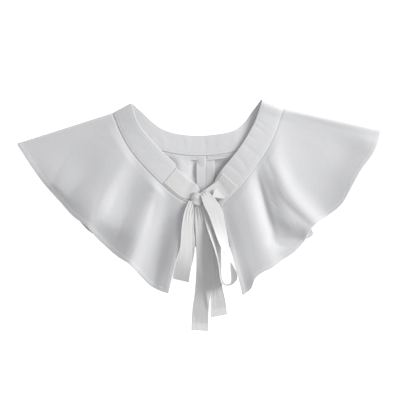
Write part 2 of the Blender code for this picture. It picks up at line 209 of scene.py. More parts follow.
def soft_step(value):
    """0 below 0, 1 above 1, and a smooth rise between them."""
    share = np.clip(value, 0, 1)
    return share * share * (3 - 2 * share)


def cloth_wall(name, material, middle, wall, cut, layers):
    """A closed wall of cloth round a middle surface, a grid of points.

    The faces lie half the wall off the middle along its normal. One more row and column all
    round, half a wall further out on the middle itself, rounds the edge and closes it.
    cut is the place of each point on the flat cloth, and layers how much it is doubled.
    """
    rows, columns = middle.shape[:2]
    half = np.broadcast_to(wall, (rows, columns))[..., None] / 2
    grow = ((1, 1), (1, 1), (0, 0))
    lift = np.pad(normals_of(middle) * half, grow)
    centre = np.pad(middle, grow, mode="edge")
    along, over = (
        np.pad(unit(np.gradient(middle, axis=axis)) * half, grow, mode="edge") for axis in (0, 1)
    )
    centre[0] -= along[0]
    centre[-1] += along[-1]
    centre[:, 0] -= over[:, 0]
    centre[:, -1] += over[:, -1]
    upper = np.arange((rows + 2) * (columns + 2)).reshape(rows + 2, columns + 2)
    lower = upper.copy()
    lower[1:-1, 1:-1] = upper.size + np.arange(rows * columns).reshape(rows, columns)
    points = np.concatenate(
        [(centre + lift).reshape(-1, 3), (centre - lift)[1:-1, 1:-1].reshape(-1, 3)]
    )

    def quads(index):
        ring = (index[:-1, :-1], index[1:, :-1], index[1:, 1:], index[:-1, 1:])
        return np.stack(ring, axis=-1).reshape(-1, 4)

    faces = np.concatenate([quads(upper), quads(lower)[:, ::-1]])
    corners = np.concatenate([quads(upper), quads(upper)[:, ::-1]])
    mesh = bpy.data.meshes.new(name)
    mesh.from_pydata((points * MM).tolist(), [], faces.tolist())
    flat = np.pad(cut, grow, mode="edge").reshape(-1, 2)
    mesh.uv_layers.new(name="cut").data.foreach_set("uv", flat[corners].ravel())
    doubled = np.pad(np.broadcast_to(layers, (rows, columns)), grow[:2], mode="edge")
    doubled = np.concatenate([doubled.ravel(), doubled[1:-1, 1:-1].ravel()])
    mesh.attributes.new("layers", "FLOAT", "POINT").data.foreach_set("value", doubled)
    mesh.materials.append(material)
    mesh.shade_smooth()
    return put_in_scene(name, mesh)


class Value:
    """A number that changes over a surface. Maths on it adds Math nodes to its material."""

    def __init__(self, finish, socket):
        self.finish = finish
        self.socket = socket

    def maths(self, operation, *values):
        """What a Math node makes of these values."""
        return self.finish.add("ShaderNodeMath", {"operation": operation}, dict(enumerate(values)))

    def __add__(self, other):
        return self.maths("ADD", self, other)

    def __sub__(self, other):
        return self.maths("SUBTRACT", self, other)

    def __rsub__(self, other):
        return self.maths("SUBTRACT", other, self)

    def __mul__(self, other):
        return self.maths("MULTIPLY", self, other)

    __radd__ = __add__
    __rmul__ = __mul__


class Finish:
    """A material made node by node on its Principled shader."""

    def __init__(self, name, **constants):
        self.material = bpy.data.materials.new(name)
        self.material.use_nodes = True
        self.tree = self.material.node_tree
        self.shader = self.tree.nodes["Principled BSDF"]
        for socket, value in constants.items():
            self.feed(self.shader.inputs[socket.replace("_", " ")], value)

    def feed(self, socket, value):
        """Links a changing value to a socket, or sets a plain one."""
        if isinstance(value, Value):
            self.tree.links.new(value.socket, socket)
        else:
            socket.default_value = value

    def add(self, kind, settings, inputs, output=0):
        """A new node with these settings and inputs, read at one of its outputs."""
        node = self.tree.nodes.new(kind)
        for setting, value in settings.items():
            setattr(node, setting, value)
        for socket, value in inputs.items():
            self.feed(node.inputs[socket], value)
        return Value(self, node.outputs[output])

    def noise(self, scale, detail, **place):
        """Soft clouds between 0 and 1, with scale of them to one unit of the place."""
        return self.add("ShaderNodeTexNoise", {}, {"Scale": scale, "Detail": detail, **place})

    def bump(self, height, depth, strength=1.0, **below):
        """The normal over a height whose size is depth, in millimetres."""
        values = {"Height": height, "Distance": depth * MM, "Strength": strength}
        return self.add("ShaderNodeBump", {}, {**values, **below})


# What all the cotton of the collar shares. The whiteness shares say how much the doubling, the
# clouds in the white and the weave move the colour from its thin to its thick end.
SHEEN = 0.12
SHEEN_ROUGHNESS = 0.5
SURFACE_REFLECTION = 0.25
WEAVE_DEPTH = 0.05
CRUMPLE_SCALE = 150.0
CLOUD_SCALE = 35.0
DOUBLED_SHARE = 0.5
CLOUD_SHARE = 0.3
WEAVE_SHARE = 0.12
THIN_WHITE = 0.95
THICK_WHITE = 1.05
WARP_LINES_ACROSS = 0.62
WARP_LINES_ALONG = 0.035
# Painted shade and highlight in the ribbon's crinkles: how far their lines move the colour, lighter
# on the ridges and darker in the grooves.
WARP_LINES_PAINTED_SHADE = 6.0


def cotton(name, colour, thread_gap, crumple_depth, roughness, warp_crinkles_and_shade=0.0):
    """Woven cotton: a plain weave of thread_gap, over a fine crumple, in a softly uneven white.

    The weave's height is the size of sine times sine of the flat cloth's two directions.
    Doubled cloth is a little whiter than single cloth, where the ground shows through.
    The strength of the warp lines says how strongly the cloth is crinkled lengthwise, in long thin
    uneven lines, and how much painted shade and highlight follow those lines: lighter colour on
    their ridges, darker in their grooves.
    """
    finish = Finish(
        name,
        Roughness=roughness,
        Sheen_Weight=SHEEN,
        Sheen_Roughness=SHEEN_ROUGHNESS,
        Specular_IOR_Level=SURFACE_REFLECTION,
    )
    flat = finish.add("ShaderNodeUVMap", {"uv_map": "cut"}, {})
    across = finish.add("ShaderNodeSeparateXYZ", {}, {0: flat}, output=0)
    down = finish.add("ShaderNodeSeparateXYZ", {}, {0: flat}, output=1)
    turns = np.pi / thread_gap
    warp = across.maths("SINE", across * turns)
    weft = down.maths("SINE", down * turns)
    weave = warp.maths("ABSOLUTE", warp * weft)
    place = finish.add("ShaderNodeTexCoord", {}, {}, output=3)
    crumple = finish.noise(CRUMPLE_SCALE, 3.0, Vector=place)
    bump = finish.bump(crumple, crumple_depth, Normal=finish.bump(weave, WEAVE_DEPTH, 0.6))
    cloud = finish.noise(CLOUD_SCALE, 2.0, Vector=place)
    layers = finish.add("ShaderNodeAttribute", {"attribute_name": "layers"}, {}, output=2)
    whiteness = layers * DOUBLED_SHARE + cloud * CLOUD_SHARE + weave * WEAVE_SHARE
    if warp_crinkles_and_shade:
        stretched = {0: across * WARP_LINES_ACROSS, 1: down * WARP_LINES_ALONG}
        drawn_out = finish.add("ShaderNodeCombineXYZ", {}, stretched)
        lines = finish.noise(1.0, 3.0, Vector=drawn_out)
        # Painted shade and highlight: the colour is lighter where the crinkle lines rise and darker
        # in their grooves.
        whiteness = whiteness + (lines - 0.5) * (warp_crinkles_and_shade * WARP_LINES_PAINTED_SHADE)
        bump = finish.bump(lines, warp_crinkles_and_shade, Normal=bump)
    finish.feed(finish.shader.inputs["Normal"], bump)
    thin = tuple(share * THIN_WHITE for share in colour)
    thick = tuple(share * THICK_WHITE for share in colour)
    shade = finish.add(
        "ShaderNodeMix",
        {"data_type": "RGBA"},
        {"Factor": whiteness, "A": (*thin, 1), "B": (*thick, 1)},
        output="Result",
    )
    finish.feed(finish.shader.inputs["Base Color"], shade)
    return finish.material


THREAD_RADIUS = 0.26
THREAD_TWIST_SCALE = 900.0
THREAD_TWIST_DEPTH = 0.05
STITCH_PITCH = 2.7
STITCH_LENGTH = 2.1
STITCH_RINGS = 5
STITCH_CORNERS = 6
STITCH_BLUNTNESS = 0.06
thread = Finish("white_thread", Base_Color=(0.9, 0.9, 0.91, 1), Roughness=0.5)
thread_twist = thread.noise(THREAD_TWIST_SCALE, 2.0)
thread.feed(thread.shader.inputs["Normal"], thread.bump(thread_twist, THREAD_TWIST_DEPTH, 0.5))


def thread_stitches(name, runs, radius=THREAD_RADIUS):
    """Stitches as one mesh: each a spindle from its start to its end, half sunk in the cloth.

    runs holds the starts, ends and up directions of one row of stitches after another. The
    radius of a spindle's rings follows the sine of the way along, from a little past 0 to a
    little short of half a turn, so that its ends are blunt.
    """
    starts, ends, ups = (np.concatenate(part) for part in zip(*runs))
    way = np.linspace(0, 1, STITCH_RINGS)
    turn = np.arange(STITCH_CORNERS) * 2 * np.pi / STITCH_CORNERS
    axis = ends - starts
    side = unit(np.cross(axis, ups))
    rise = unit(np.cross(side, axis))
    swell = radius * np.sin(np.pi * (STITCH_BLUNTNESS + (1 - 2 * STITCH_BLUNTNESS) * way))
    centre = starts[:, None] + axis[:, None] * way[:, None]
    ring = (
        side[:, None, None] * np.cos(turn)[:, None] + rise[:, None, None] * np.sin(turn)[:, None]
    )
    points = centre[:, :, None] + ring * swell[:, None, None]
    index = np.arange(points.size // 3).reshape(points.shape[:-1])
    after = np.roll(index, -1, axis=2)
    walls = np.stack(
        [index[:, :-1], after[:, :-1], after[:, 1:], index[:, 1:]], axis=-1
    ).reshape(-1, 4)
    caps = [*index[:, 0, ::-1].tolist(), *index[:, -1].tolist()]
    mesh = bpy.data.meshes.new(name)
    mesh.from_pydata((points.reshape(-1, 3) * MM).tolist(), [], [*walls.tolist(), *caps])
    mesh.materials.append(thread.material)
    mesh.shade_smooth()
    return put_in_scene(name, mesh)


def read_along(values, reach, places):
    """A line's values at places along it. reach is how far along each of its points is."""
    return np.stack([np.interp(places, reach, column) for column in values.T], axis=-1)


def stitch_run(line, ups, pitch, length):
    """Starts, ends and up directions of the stitches along a line of points."""
    reach = run_lengths(line, 0)
    middles = np.arange(pitch, reach[-1] - pitch / 2, pitch)
    starts = read_along(line, reach, middles - length / 2)
    ends = read_along(line, reach, middles + length / 2)
    return starts, ends, read_along(ups, reach, middles)


def read_grid(grid, rows, columns):
    """A grid's values between its points: the four round each place, weighted by nearness."""
    low_row = np.clip(np.floor(rows).astype(int), 0, grid.shape[0] - 2)
    low_column = np.clip(np.floor(columns).astype(int), 0, grid.shape[1] - 2)
    down, over = (rows - low_row)[:, None], (columns - low_column)[:, None]
    near = grid[low_row, low_column] * (1 - over) + grid[low_row, low_column + 1] * over
    far = grid[low_row + 1, low_column] * (1 - over) + grid[low_row + 1, low_column + 1] * over
    return near * (1 - down) + far * down


def topstitching(middle, wall, columns, face, part=slice(None)):
    """A row of stitches on a wall, along the line that crosses its rows at these columns.

    face is 1 on the side that the normals of the middle point to, and -1 on the other. part
    says which of the rows have stitches.
    """
    rows = np.arange(len(middle))[part]
    grids = (middle, normals_of(middle), wall[..., None])
    line, ups, walls = (read_grid(grid, rows, columns[part]) for grid in grids)
    return stitch_run(line + ups * walls / 2 * face, ups * face, STITCH_PITCH, STITCH_LENGTH)


def band_surface(places, across):
    """The band's middle surface: straight lines from the seam at 0 to the neckline at 1."""
    across = np.asarray(across)[:, None]
    points = spline_at(neck_seam[:, None] * (1 - across) + neck_top[:, None] * across, places)
    points[..., 2] = np.maximum(points[..., 2], BAND_WALL / 2)
    return points


# The folds and creases, each a curve on the table from its start past its bend to its end, with
# the widths of its left and right flank, looking that way, and its heights at the three points.
# A negative height is a trough.
Crease = namedtuple("Crease", "name start bend end widths heights")
CREASE_POINTS = 41
BAND_CREASES = named_rows(Crease, [
    ("right, at the fold", (72, 124), (79, 120), (87, 113), (2, 2), (-0.1, -0.2, -0.1)),
    ("right, high", (70, 116), (77, 112), (84, 106), (2, 3), (-0.15, -0.25, -0.15)),
    ("right, middle", (60, 107), (66, 101), (74, 97), (3, 2), (-0.15, -0.25, -0.1)),
    ("right, long", (58, 92), (66, 84), (77, 76), (3, 3), (-0.1, -0.25, -0.15)),
    ("right, low", (46, 79), (54, 70), (62, 58), (3, 2), (-0.15, -0.3, -0.15)),
    ("right, at the tie", (35, 66), (44, 60), (55, 50), (3, 2), (-0.2, -0.3, -0.15)),
    ("left, at the fold", (-104, 121), (-96, 119), (-86, 122), (3, 3), (-0.1, -0.25, -0.1)),
    ("left, high", (-92, 103), (-84, 104), (-76, 101), (3, 3), (-0.1, -0.2, -0.1)),
    ("left, middle", (-78, 88), (-70, 84), (-60, 86), (3, 2), (-0.1, -0.2, -0.1)),
    ("left, low", (-62, 62), (-54, 66), (-44, 66), (3, 3), (-0.1, -0.2, -0.1)),
    ("back, left", (-50, 104), (-46, 96), (-44, 88), (3, 4), (0.1, 0.25, 0.1)),
    ("back, pressed", (-22, 100), (-20, 92), (-21, 84), (2, 2), (-0.1, -0.2, -0.1)),
    ("back, beside it", (-10, 101), (-9, 92), (-11, 84), (2, 2), (-0.1, -0.25, -0.15)),
    ("back, at the seam", (7, 100), (8, 92), (8, 82), (2, 2), (-0.15, -0.25, -0.15)),
    ("back, right", (22, 100), (21, 92), (23, 84), (2, 3), (-0.1, -0.2, -0.1)),
    ("back, far right", (50, 104), (46, 97), (44, 90), (4, 3), (0.1, 0.2, 0.1)),
])


def crease_heights(points, creases):
    """Height added by creases: h exp(-(d / w)^2), with d the distance to the crease's curve.

    The height h is read at the nearest point of the curve, and the width w goes from one
    flank's to the other's with the direction in which the point lies off the curve.
    """
    height = np.zeros(points.shape[:2])
    for row in creases:
        ends = (row.start, row.bend, row.end)
        knots = np.array([(*place, rise) for place, rise in zip(ends, row.heights)], float)
        curve = spline_at(knots, np.linspace(0, 2, CREASE_POINTS))
        off = points[..., None, :2] - curve[:, :2]
        distance = np.linalg.norm(off, axis=-1)
        near = distance.argmin(axis=-1)
        heading = unit(np.gradient(curve[:, :2], axis=0))[near]
        off = np.take_along_axis(off, near[..., None, None], axis=-2)[..., 0, :]
        along = (off * heading).sum(axis=-1)
        inside = (near > 0) & (near < len(curve) - 1)
        side = heading[..., 0] * off[..., 1] - heading[..., 1] * off[..., 0]
        along = np.where(inside, 0, along)
        distance = np.hypot(along, side)
        turned = 0.5 + 0.5 * side / np.maximum(distance, 1e-6)
        width = row.widths[1] + (row.widths[0] - row.widths[1]) * turned
        height += curve[near, 2] * np.exp(-((distance / width) ** 2))
    return height


band_places = stations(len(NECK), BAND_STEPS)
band_middle = band_surface(band_places, np.linspace(0, 1, BAND_LINES))
band_middle[..., 2] += crease_heights(band_middle, BAND_CREASES)
band_along = run_lengths(band_middle, 0).mean(axis=1)
band_down = run_lengths(band_middle, 1)
band_width = band_down[:, -1:]
from_edge = np.minimum(band_down, band_width - band_down)
edge_press = EDGE_PRESS * (1 - soft_step(from_edge / EDGE_PRESS_WIDTH))
groove = STITCH_GROOVE * np.exp(-(((from_edge - EDGE_TO_STITCH) / GROOVE_WIDTH) ** 2))
band_wall = BAND_WALL - edge_press - groove
band_cut = np.stack(np.broadcast_arrays(band_along[:, None], band_down), axis=-1)
band_cotton = cotton("band_cotton", BAND_COTTON, thread_gap=0.42, crumple_depth=0.18, roughness=0.78)
band = cloth_wall("band", band_cotton, band_middle, band_wall, band_cut, 1.0)
stitch_column = EDGE_TO_STITCH / band_width[:, 0] * (BAND_LINES - 1)
band_stitches = thread_stitches(
    "band_stitches",
    [
        topstitching(band_middle, band_wall, column, face)
        for column in (stitch_column, BAND_LINES - 1 - stitch_column)
        for face in (1, -1)
    ],
)
for piece in (band, band_stitches):
    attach(piece, "root")
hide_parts("neck_band")

# The cape halves: each one flared piece of white cotton lawn, from the front edge over the
# shoulder fold to the centre back, with a narrow hem turned twice and stitched on its free edges.
CAPE_WALL = 0.8
CAPE_STEPS = 14
CAPE_LINES = 62
HEM_LINES = 12
HEM_SHARE = 0.95
HEM_WIDTH = 5.2
HEM_EXTRA = 0.45
HEM_STEP = 0.8
HEM_TO_STITCH = 4.3
HEM_GROOVE = 0.22
HEM_GROOVE_WIDTH = 0.6
SINGLE_LAYER = 0.25
TUCK_UNDER_BAND = 1.6
TUCK_DROP = 0.9
TUCK_FADE = 2.6
CREASE_FADE = 13.0
FOLD_FADE_SECTIONS = 1.5
FRONT_LIFT = 1.6
SOFT_LANDING = 0.35
SEAM_X = 8.7
CENTRE_BACK_GAP = 0.15
CAPE_COTTON = (0.755, 0.755, 0.77)

# neck_place counts sections of NECK. middle_z is the height halfway from the neck to the hem.
CapeSection = namedtuple("CapeSection", "name neck_place middle_z hem_x hem_y hem_z")
CAPE_LEFT = named_rows(CapeSection, [
    ("front edge", 0.0, 7.0, -40.0, -102.0, 4.0),
    ("front edge slope", 0.6, 6.4, -52.0, -97.5, 3.6),
    ("inner trough", 1.25, 3.6, -62.5, -92.0, 1.6),
    ("inner fold slope", 1.75, 5.0, -75.0, -79.5, 3.0),
    ("inner fold", 2.3, 6.4, -89.0, -63.5, 4.6),
    ("inner fold far slope", 2.75, 5.0, -106.0, -53.0, 3.0),
    ("outer trough", 3.15, 3.6, -127.0, -35.0, 1.2),
    ("outer fold slope", 3.5, 4.2, -136.5, -24.5, 1.6),
    ("outer fold", 3.85, 5.6, -145.5, -13.5, 3.0),
    ("outer fold far slope", 4.35, 5.2, -161.5, -2.0, 3.6),
    ("shoulder front", 4.85, 4.6, -180.0, 17.0, 0.9),
    ("shoulder flat", 5.3, 4.6, -199.5, 39.0, 1.6),
    ("tip curl", 5.65, 5.0, -216.5, 63.0, 5.5),
    ("tip", 5.88, 6.0, -228.0, 81.0, 6.5),
    ("over fold", 6.0, 6.4, -233.5, 89.3, 6.0),
    ("fold edge", 7.0, 3.6, -235.0, 92.2, 3.4),
    ("under fold", 8.0, 0.4, -233.5, 89.3, 0.4),
    ("back tip", 8.3, 0.4, -214.5, 60.5, 0.4),
    ("back shoulder", 8.8, 0.4, -193.5, 34.0, 0.4),
    ("back side", 9.6, 0.8, -161.0, -0.5, 0.4),
    ("back hem showing", 10.2, 1.2, -142.5, -21.0, 0.4),
    ("back lower side", 10.9, 1.2, -115.5, -34.5, 0.4),
    ("back panel", 12.0, 1.2, -63.5, -43.0, 0.4),
    ("back centre", 13.0, 0.6, 8.7, -41.0, 0.4),
])
CAPE_RIGHT = named_rows(CapeSection, [
    ("front edge", 27.0, 2.4, 57.2, -104.0, 0.8),
    ("front edge slope", 26.6, 3.6, 67.5, -95.5, 1.8),
    ("front corner", 26.2, 5.6, 73.0, -82.0, 3.4),
    ("inner fold", 25.8, 6.6, 82.5, -74.0, 4.4),
    ("inner fold far slope", 25.4, 6.0, 93.0, -69.0, 4.6),
    ("inner trough", 24.85, 3.4, 107.0, -59.0, 4.8),
    ("trough floor", 24.45, 3.2, 123.5, -48.0, 5.6),
    ("outer fold slope", 24.0, 6.4, 136.5, -34.0, 4.0),
    ("notch", 23.72, 7.2, 140.6, -24.2, 4.8),
    ("outer fold", 23.45, 7.8, 149.0, -13.0, 5.6),
    ("outer fold far slope", 22.95, 6.0, 168.0, 0.0, 5.0),
    ("shoulder front", 22.4, 5.2, 184.0, 13.5, 7.0),
    ("shoulder flat", 21.8, 5.0, 196.0, 34.5, 8.6),
    ("shoulder side", 21.3, 5.2, 208.0, 56.5, 8.8),
    ("tip curl", 20.8, 5.6, 225.5, 81.5, 9.4),
    ("tip", 20.4, 6.2, 231.5, 96.5, 9.0),
    ("over fold", 20.0, 7.0, 234.6, 107.6, 7.8),
    ("fold edge", 19.0, 3.8, 235.4, 109.8, 3.6),
    ("under fold", 18.0, 0.4, 233.0, 106.5, 0.4),
    ("back tip", 17.7, 0.4, 214.5, 68.0, 0.4),
    ("back shoulder", 17.2, 0.4, 189.5, 32.0, 0.4),
    ("back side", 16.5, 0.8, 158.0, 2.0, 0.4),
    ("back notch", 16.2, 1.0, 145.5, -16.0, 0.4),
    ("back hem showing", 15.9, 1.2, 148.4, -25.3, 0.4),
    ("back lower side", 15.3, 1.2, 131.0, -34.5, 0.4),
    ("back panel", 14.4, 1.0, 89.5, -42.0, 0.4),
    ("back centre", 13.0, 0.6, 8.7, -41.0, 0.4),
])

# The folds of the upper layer, then those of the back layer, which hardly show.
CREASES_LEFT = named_rows(Crease, [
    ("outer fold", (-94, 80), (-122, 28), (-147, -15), (16, 32), (2.2, 7.0, 8.0)),
    ("inner fold", (-51, 47), (-68, -2), (-92, -66), (13, 21), (1.0, 6.2, 9.5)),
    ("inner fold, top", (-56, 38), (-55, 32), (-57, 24), (9, 9), (1.0, 1.4, 1.0)),
    ("front edge rise", (-14, 4), (-26, -42), (-38, -88), (12, 14), (-0.6, 6.0, 3.2)),
    ("hem shoulder", (-136, -3), (-118, -8), (-100, -16), (30, 18), (5.2, 7.6, 4.6)),
    ("hem dimple", (-191, 42), (-181, 36), (-169, 24), (30, 9), (3.8, 5.2, 3.2)),
    ("streak edge", (-104, 32), (-113, 10), (-120, -2), (6, 4), (-0.3, -0.9, -0.3)),
    ("neck pull", (-54, 30), (-60, 2), (-72, -34), (5, 4), (-0.2, -1.0, -0.3)),
    ("flat wave", (-196, 80), (-160, 96), (-118, 100), (12, 16), (0.3, 0.7, 0.2)),
])
CREASES_RIGHT = named_rows(Crease, [
    ("outer fold", (92, 96), (111, 30), (153, -15), (12, 18), (1.1, 4.4, 5.2)),
    ("outer fold foot", (87, 72), (106, 22), (145, -16), (4, 5), (-0.2, -0.7, -0.6)),
    ("inner fold", (58, 44), (76, -10), (93, -62), (13, 17), (0.5, 2.2, 2.7)),
    ("sharp trough", (73, 56), (83, 22), (97, -26), (4, 7), (-0.6, -2.8, -1.8)),
    ("trough across", (95, -34), (116, -36), (139, -28), (7, 8), (-1.6, -3.6, -1.8)),
    ("dark flank", (91, 22), (109, -6), (134, -20), (12, 11), (0.4, 4.4, 2.8)),
    ("front slope", (46, 10), (58, -40), (74, -92), (34, 11), (1.2, 3.4, 4.4)),
    ("hem rise", (186, 8), (205, 42), (223, 80), (24, 26), (2.2, 4.2, 4.4)),
    ("tip wave", (168, 96), (192, 84), (222, 88), (12, 18), (-0.3, -0.9, -0.4)),
])
CREASES_BACK_LEFT = named_rows(Crease, [
    ("bulge", (-28, 72), (-24, 46), (-18, 16), (9, 13), (3.0, 3.0, 0.6)),
    ("beside the seam", (-7, 76), (-7, 58), (-9, 38), (4, 4), (-3.0, -2.6, -0.4)),
    ("under the band", (-42, 75), (-36, 68), (-31, 58), (7, 7), (-3.2, -2.6, -0.6)),
    ("wave", (-150, 8), (-120, 30), (-95, 70), (14, 14), (0.2, 1.0, 0.6)),
    ("lower wave", (-110, -26), (-84, 0), (-60, 40), (12, 16), (0.2, 1.0, 0.6)),
])
CREASES_BACK_RIGHT = named_rows(Crease, [
    ("valley", (22, 71), (31, 62), (34, 44), (12, 14), (-3.6, -3.6, -1.4)),
    ("wave", (160, 14), (130, 34), (104, 76), (14, 14), (0.2, 1.0, 0.6)),
    ("lower wave", (122, -24), (98, 4), (72, 40), (12, 16), (0.2, 1.0, 0.6)),
])


def cape_surface(sections, creases, back_creases):
    """A cape half's middle surface, from under the band to the hem, and its fold edge's row.

    Each section is a straight line in plan whose height is a parabola through the neck, the
    middle and the hem. The neck line is then laid on the band's seam, and creases are added
    to the rows before and after the shoulder fold, fading out towards the neck.
    """
    neck_places = np.array([row.neck_place for row in sections])
    hem = np.array([(row.hem_x, row.hem_y, row.hem_z) for row in sections])
    middle_z = np.array([row.middle_z for row in sections])
    neck = spline_at(neck_seam, neck_places)
    depth = np.linalg.norm(hem - neck, axis=1).mean()
    inner = np.linspace(-TUCK_UNDER_BAND / depth, HEM_SHARE, CAPE_LINES)
    down = np.concatenate([inner[:-1], np.linspace(HEM_SHARE, 1, HEM_LINES)])
    lines = neck[:, None] * (1 - down)[:, None] + hem[:, None] * down[:, None]
    lines[..., 2] = (
        neck[:, None, 2] * (1 - down) * (1 - 2 * down)
        + 4 * middle_z[:, None] * down * (1 - down)
        + hem[:, None, 2] * down * (2 * down - 1)
    )
    places = stations(len(sections), CAPE_STEPS)
    points = spline_at(lines, places)
    on_seam = spline_at(neck_seam, np.interp(places, np.arange(len(sections)), neck_places))
    points += (on_seam - spline_at(neck, places))[:, None] * ((1 - down) ** 2)[:, None]
    names = [row.name for row in sections]
    fold = names.index("over fold")
    before_fold = soft_step((fold - places) / FOLD_FADE_SECTIONS)[:, None]
    after_fold = soft_step((places - fold - 2) / FOLD_FADE_SECTIONS)[:, None]
    added = crease_heights(points, creases) * before_fold
    added += crease_heights(points, back_creases) * after_fold
    points[..., 2] += added * soft_step(down * depth / CREASE_FADE)
    points[..., 2] -= TUCK_DROP * (1 - soft_step(down * depth / TUCK_FADE))
    lowest = (CAPE_WALL + HEM_EXTRA) / 2 + FRONT_LIFT * before_fold
    over = (points[..., 2] - lowest) / SOFT_LANDING
    points[..., 2] = lowest + SOFT_LANDING * np.logaddexp(0, over)
    points[-1, :, 0] += np.sign(hem[0, 0] - SEAM_X) * CENTRE_BACK_GAP
    return points, names.index("fold edge") * CAPE_STEPS


def fan_cut(points):
    """The place of each point on the flat cloth, a sector of a ring, and that sector's sizes.

    The angle grows with the way along, and the radius from the neck's radius with the way down.
    The sizes are the angle, the radius of the neck and the radius of the hem.
    """
    along = run_lengths(points, 0)
    down = run_lengths(points, 1)
    depth = down[:, -1].mean()
    angle = (along[-1, -1] - along[-1, 0]) / depth
    neck_radius = along[-1, 0] / angle
    turn = along.mean(axis=1)[:, None] / along[-1].mean() * angle
    radius = neck_radius + down
    cut = np.stack([radius * np.sin(turn - angle / 2), radius * np.cos(turn - angle / 2)], axis=-1)
    return cut, angle, neck_radius, neck_radius + depth


cape_cotton = cotton("cape_cotton", CAPE_COTTON, thread_gap=0.38, crumple_depth=0.16, roughness=0.82)
for name, sections, creases, back_creases in (
    ("cape_front_left", CAPE_LEFT, CREASES_LEFT, CREASES_BACK_LEFT),
    ("cape_front_right", CAPE_RIGHT, CREASES_RIGHT, CREASES_BACK_RIGHT),
):
    middle, fold_row = cape_surface(sections, creases, back_creases)
    cut, angle, neck_radius, hem_radius = fan_cut(middle)
    across = run_lengths(middle, 1)
    from_hem = across[:, -1:] - across
    from_front = run_lengths(middle, 0)
    from_free_edge = np.minimum(from_hem, from_front)
    hem = 1 - soft_step((from_free_edge - HEM_WIDTH) / HEM_STEP + 0.5)
    from_stitches = from_free_edge - HEM_TO_STITCH
    groove = HEM_GROOVE * np.exp(-((from_stitches / HEM_GROOVE_WIDTH) ** 2))
    wall = CAPE_WALL + HEM_EXTRA * hem - groove
    layers = SINGLE_LAYER + (1 - SINGLE_LAYER) * hem
    cape = cloth_wall(name, cape_cotton, middle, wall, cut, layers)
    outer = np.sign(normals_of(middle)[: fold_row // 2, :, 2].mean())
    column = np.interp(
        1 - HEM_TO_STITCH / across[:, -1],
        across.mean(axis=0) / across[:, -1].mean(),
        np.arange(across.shape[1]),
    )
    front_row = np.array(
        [np.interp(HEM_TO_STITCH, reach, np.arange(len(reach))) for reach in from_front.T]
    )
    stitches = thread_stitches(
        name + "_stitches",
        [
            topstitching(middle, wall, column, outer, slice(None, fold_row)),
            topstitching(middle, wall, column, -outer, slice(fold_row, None)),
            topstitching(middle.swapaxes(0, 1), wall.T, front_row, -outer),
        ],
    )
    for piece in (cape, stitches):
        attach(piece, "root")
    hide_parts(name.replace("front_", ""))
    half = min(angle / 2, np.pi / 2)
    flat_width = 2 * hem_radius * np.sin(half) * MM
    flat_depth = (hem_radius - neck_radius * np.cos(angle / 2)) * MM
    flat_area = angle / 2 * (hem_radius**2 - neck_radius**2) * MM**2

# The allowances of the centre back seam: two narrow strips of the cape's cotton, pressed open
# on the inside of the back, each with its raw edge overcast.
ALLOWANCE_WALL = 0.7
ALLOWANCE_STEPS = 28
ALLOWANCE_LINES = 15
ALLOWANCE_LAYERS = 0.4
ALLOWANCE_OFF_SEAM = 0.3
LONG_SWING = 0.25
LONG_SWING_LENGTH = 6.5
SHORT_SWING = 0.12
SHORT_SWING_LENGTH = 2.9
OVERCAST_START = 0.8
OVERCAST_PITCH = 1.5
OVERCAST_SLANT = 0.6
OVERCAST_COLUMN = 10.5
OVERCAST_LIFT = 0.05
OVERCAST_RADIUS = 0.16
AllowanceSection = namedtuple("AllowanceSection", "name y left_free_x right_free_x seam_z free_z")
SEAM_ALLOWANCE = named_rows(AllowanceSection, [
    ("under the band", 77.0, -3.4, 19.6, 3.4, 3.2),
    ("below the band", 62.0, -3.4, 19.6, 3.6, 4.2),
    ("under the bow", 32.0, -3.2, 19.4, 2.4, 2.6),
    ("middle", 0.0, -3.2, 19.4, 1.8, 2.4),
    ("back hem", -40.6, -3.2, 19.4, 1.7, 2.2),
])


def strip_cut(points):
    """The place of each point on a straight strip of cloth: how far across, and how far along."""
    return np.stack([run_lengths(points, 1), run_lengths(points, 0)], axis=-1)


for name, side in (("allowance_left", -1), ("allowance_right", 1)):
    free_x = [row.left_free_x if side < 0 else row.right_free_x for row in SEAM_ALLOWANCE]
    pairs = np.array(
        [
            [(SEAM_X + side * ALLOWANCE_OFF_SEAM, row.y, row.seam_z), (x, row.y, row.free_z)]
            for row, x in zip(SEAM_ALLOWANCE, free_x)
        ]
    )
    share = np.linspace(0, 1, ALLOWANCE_LINES)[:, None]
    grid = pairs[:, :1] * (1 - share) + pairs[:, 1:] * share
    middle = spline_at(grid, stations(len(SEAM_ALLOWANCE), ALLOWANCE_STEPS))
    swing = np.sin(middle[..., 1] / LONG_SWING_LENGTH) * LONG_SWING
    swing += np.sin(middle[..., 1] / SHORT_SWING_LENGTH + 1) * SHORT_SWING
    middle[..., 2] += swing * share[:, 0]
    cut = strip_cut(middle)
    strip = cloth_wall(name, cape_cotton, middle, ALLOWANCE_WALL, cut, ALLOWANCE_LAYERS)
    edge = middle[:, -1]
    inside = read_grid(middle, np.arange(len(middle)), np.full(len(middle), OVERCAST_COLUMN))
    up = normals_of(middle)[:, -1]
    up = up * np.sign(up[:, 2:])
    reach = run_lengths(edge, 0)
    ticks = np.arange(OVERCAST_START, reach[-1], OVERCAST_PITCH)
    ups = read_along(up, reach, ticks)
    lift = ups * (ALLOWANCE_WALL / 2 + OVERCAST_LIFT)
    starts = read_along(edge, reach, ticks) + lift
    ends = read_along(inside, reach, ticks + OVERCAST_SLANT) + lift
    overcast = thread_stitches(name + "_overcast", [(starts, ends, ups)], OVERCAST_RADIUS)
    for piece in (strip, overcast):
        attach(piece, "root")
    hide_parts("seam_" + name)

